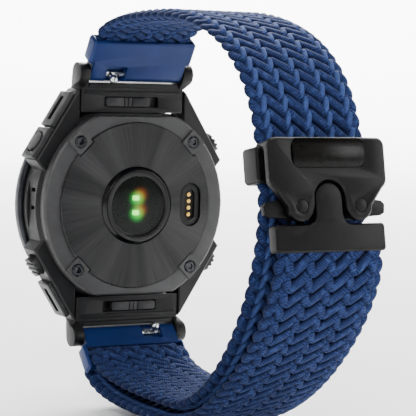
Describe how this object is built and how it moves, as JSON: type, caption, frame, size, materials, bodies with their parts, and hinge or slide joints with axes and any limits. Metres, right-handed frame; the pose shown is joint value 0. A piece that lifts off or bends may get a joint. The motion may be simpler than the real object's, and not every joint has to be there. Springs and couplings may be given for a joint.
{
  "type": "fitness tracker band",
  "caption": "Round smartwatch with case-back sensor and charging port on a closed loop of braided elastic strap with metal connectors and a slide-in tongue buckle.",
  "frame": {"origin": "centre of the wrist space inside the closed loop", "axes": "+Z towards 12 o'clock, +X along the wrist, +Y out through the front glass, so the case back looks to -Y"},
  "size_m": [0.0515, 0.0996, 0.0906],
  "materials": {
    "moulded_polymer": "moulded, matt",
    "guard_metal": "bead blasted and coated",
    "bezel_metal": "coated",
    "cover_metal": "matt coated",
    "brushed_metal": "radially brushed, dark coated",
    "steel": "polished",
    "gold_plate": "gold plated",
    "front_glass": "polished, tinted",
    "display": "smooth",
    "circuit_board": "solder resist",
    "led": "clear resin, lit green",
    "photodiode": "clear resin over silicon",
    "battery_foil": "foil pouch",
    "gasket_rubber": "moulded",
    "blue_metal": "bead blasted, blue anodised",
    "woven_nylon": "flat braided elastic cord",
    "buckle_coating": "satin black coating",
    "buckle_gloss": "glossy black coating"
  },
  "bodies": {
    "watch_and_band": {"adapter_lower": "moulded_polymer", "adapter_upper": "moulded_polymer", "back_cover": "cover_metal", "battery": "battery_foil", "bezel": "bezel_metal", "brushed_disc": "brushed_metal", "buckle_cover": "buckle_coating", "buckle_inset": "buckle_gloss", "charge_pin_1": "gold_plate", "charge_pin_2": "gold_plate", "charge_pin_3": "gold_plate", "charge_pin_4": "gold_plate", "connector_lower": "blue_metal", "connector_upper": "blue_metal", "cover_gasket": "gasket_rubber", "cover_screw_1": "steel", "cover_screw_2": "steel", "cover_screw_3": "steel", "cover_screw_4": "steel", "display_panel": "display", "front_glass": "front_glass", "guard_lower": "guard_metal", "guard_start": "guard_metal", "guard_upper": "guard_metal", "keeper_loop": "buckle_coating", "lug_pin_lower": "steel", "lug_pin_upper": "steel", "main_board": "circuit_board", "mid_case": "moulded_polymer", "photodiode_1": "photodiode", "photodiode_2": "photodiode", "photodiode_3": "photodiode", "photodiode_4": "photodiode", "port_housing": "moulded_polymer", "rivet_left": "buckle_coating", "rivet_right": "buckle_coating", "sensor_board": "circuit_board", "sensor_led_1": "led", "sensor_led_2": "led", "sensor_ring": "brushed_metal", "sensor_window": "front_glass", "spring_bar_lower": "steel", "spring_bar_upper": "steel", "strap_main": "woven_nylon", "strap_tail": "woven_nylon", "vibration_motor": "steel"},
    "button_back": {"button_back": "guard_metal"},
    "button_down": {"button_down": "guard_metal"},
    "button_light": {"button_light": "guard_metal"},
    "button_start": {"button_start": "guard_metal"},
    "button_up": {"button_up": "guard_metal"},
    "latch_lower": {"latch_lower": "guard_metal"},
    "latch_upper": {"latch_upper": "guard_metal"},
    "quick_lever_lower": {"quick_lever_lower": "steel"},
    "quick_lever_upper": {"quick_lever_upper": "steel"},
    "release_lever_left": {"release_lever_left": "buckle_coating"},
    "release_lever_right": {"release_lever_right": "buckle_coating"},
    "tongue_plate": {"tongue_plate": "buckle_coating"}
  },
  "joints": [
    {"name": "button_start_press", "type": "slide", "parent": "watch_and_band", "child": "button_start", "axis": [0.848, 0, -0.5299], "range_m": [0, 0.0006], "stiffness_N_per_m": 2500, "springref_m": -0.0002},
    {"name": "button_back_press", "type": "slide", "parent": "watch_and_band", "child": "button_back", "axis": [0.848, 0, 0.5299], "range_m": [0, 0.0006], "stiffness_N_per_m": 2500, "springref_m": -0.0002},
    {"name": "button_light_press", "type": "slide", "parent": "watch_and_band", "child": "button_light", "axis": [-0.848, 0, -0.5299], "range_m": [0, 0.0006], "stiffness_N_per_m": 2500, "springref_m": -0.0002},
    {"name": "button_up_press", "type": "slide", "parent": "watch_and_band", "child": "button_up", "axis": [-1, 0, 0], "range_m": [0, 0.0006], "stiffness_N_per_m": 2500, "springref_m": -0.0002},
    {"name": "button_down_press", "type": "slide", "parent": "watch_and_band", "child": "button_down", "axis": [-0.848, 0, 0.5299], "range_m": [0, 0.0006], "stiffness_N_per_m": 2500, "springref_m": -0.0002},
    {"name": "quick_lever_upper_slide", "type": "slide", "parent": "watch_and_band", "child": "quick_lever_upper", "axis": [1, 0, 0], "range_m": [0, 0.0016], "stiffness_N_per_m": 800, "springref_m": -0.0006},
    {"name": "latch_upper_slide", "type": "slide", "parent": "watch_and_band", "child": "latch_upper", "axis": [1, 0, 0], "range_m": [0, 0.002], "stiffness_N_per_m": 400, "springref_m": -0.0008},
    {"name": "quick_lever_lower_slide", "type": "slide", "parent": "watch_and_band", "child": "quick_lever_lower", "axis": [-1, 0, 0], "range_m": [0, 0.0016], "stiffness_N_per_m": 800, "springref_m": -0.0006},
    {"name": "latch_lower_slide", "type": "slide", "parent": "watch_and_band", "child": "latch_lower", "axis": [-1, 0, 0], "range_m": [0, 0.002], "stiffness_N_per_m": 400, "springref_m": -0.0008},
    {"name": "release_lever_left_turn", "type": "hinge", "parent": "watch_and_band", "child": "release_lever_left", "pos_m": [-0.00695, -0.04292, 0.0064], "axis": [0, -0.9816, 0.1908], "range_deg": [0, 10], "stiffness_Nm_per_rad": 0.02, "springref_deg": -5.73},
    {"name": "release_lever_right_turn", "type": "hinge", "parent": "watch_and_band", "child": "release_lever_right", "pos_m": [0.00695, -0.04292, 0.0064], "axis": [0, 0.9816, -0.1908], "range_deg": [0, 10], "stiffness_Nm_per_rad": 0.02, "springref_deg": -5.73},
    {"name": "tongue_slide", "type": "slide", "parent": "watch_and_band", "child": "tongue_plate", "axis": [0, -0.1908, -0.9816], "range_m": [0, 0.012], "deforming": ["strap_tail"]}
  ]
}
